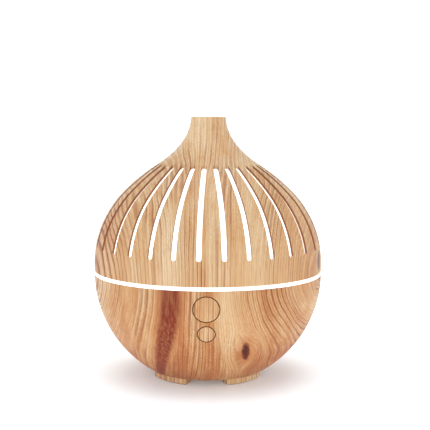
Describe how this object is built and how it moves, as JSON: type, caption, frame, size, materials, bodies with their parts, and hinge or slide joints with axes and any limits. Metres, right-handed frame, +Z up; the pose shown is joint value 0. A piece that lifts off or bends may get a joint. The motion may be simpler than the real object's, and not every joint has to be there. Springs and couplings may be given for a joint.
{
  "type": "essential oil diffuser",
  "caption": "Ultrasonic aroma diffuser: wood-grain sphere with four low feet, a lit ring at its seam and a slotted onion-shaped cover that lifts off the water tank.",
  "frame": {"origin": "centre of the footprint, on the table under the foot pads", "axes": "+Z up, -Y to the front with the two buttons, +X to the right"},
  "size_m": [0.15, 0.15, 0.171],
  "materials": {
    "wood_cover": "wood-grain printed ABS, satin",
    "wood_body": "wood-grain printed ABS, satin",
    "wood_button": "wood-grain printed ABS, satin",
    "wood_base": "wood-grain printed ABS, satin",
    "shade_white": "translucent white, lit",
    "tank_clear": "translucent white polypropylene, lit at the rim",
    "white_plastic": "satin moulded",
    "black_plastic": "satin moulded",
    "silicone": "soft matte",
    "disc_steel": "fine brushed",
    "steel": "brushed",
    "screw_steel": "zinc plated",
    "board_green": "solder mask",
    "led_white": "phosphor dome",
    "foam_black": "foam",
    "bronze": "sintered",
    "copper": "enamelled wire",
    "ferrite": "sintered",
    "capacitor_sleeve": "shrink sleeve",
    "aluminium": "extruded",
    "pad_rubber": "matte",
    "lead_red": "insulation",
    "lead_black": "insulation",
    "lead_white": "insulation"
  },
  "bodies": {
    "base": {"water_tank": "tank_clear", "chimney_cap": "white_plastic", "disc_seal": "silicone", "ultrasonic_disc": "disc_steel", "disc_clamp": "steel", "disc_clamp_screws": "screw_steel", "led_boards": "board_green", "leds": "led_white", "led_board_screws": "screw_steel", "fan_gasket": "foam_black", "fan_frame": "black_plastic", "fan_bearing": "bronze", "fan_stator": "copper", "fan_screws": "screw_steel", "main_board": "board_green", "main_board_screws": "screw_steel", "wire_plugs": "white_plastic", "coil_core": "ferrite", "coil_winding": "copper", "capacitors": "capacitor_sleeve", "heat_sink": "aluminium", "power_transistor": "black_plastic", "control_chip": "black_plastic", "lower_shell": "wood_body", "base_plate": "wood_base", "foot_pads": "pad_rubber", "base_screws": "screw_steel", "dc_jack": "black_plastic", "jack_pin": "steel", "jack_nut": "steel", "button_board": "board_green", "button_board_screws": "screw_steel", "tact_switches": "black_plastic", "jack_leads": "lead_red", "fan_leads": "lead_black", "led_leads": "lead_white", "led_link": "lead_white", "disc_leads": "lead_red", "panel_leads": "lead_white"},
    "cover": {"cover_shell": "wood_cover", "inner_shade": "shade_white", "splash_baffle": "white_plastic"},
    "rotor": {"fan_rotor": "black_plastic", "fan_shaft": "steel"},
    "mist_key": {"mist_button": "wood_button", "mist_plunger": "white_plastic"},
    "light_key": {"light_button": "wood_button", "light_plunger": "white_plastic"}
  },
  "joints": [
    {"name": "cover_lift", "type": "slide", "parent": "base", "child": "cover", "axis": [0, 0, 1], "range_m": [0, 0.09]},
    {"name": "fan_spin", "type": "hinge", "parent": "base", "child": "rotor", "pos_m": [0, 0.021, 0.022], "axis": [0, 0, 1], "continuous": true},
    {"name": "mist_press", "type": "slide", "parent": "base", "child": "mist_key", "axis": [0, 0.9781, 0.2079], "range_m": [0, 0.0005], "stiffness_N_per_m": 600},
    {"name": "light_press", "type": "slide", "parent": "base", "child": "light_key", "axis": [0, 0.9781, 0.2079], "range_m": [0, 0.0005], "stiffness_N_per_m": 600}
  ]
}
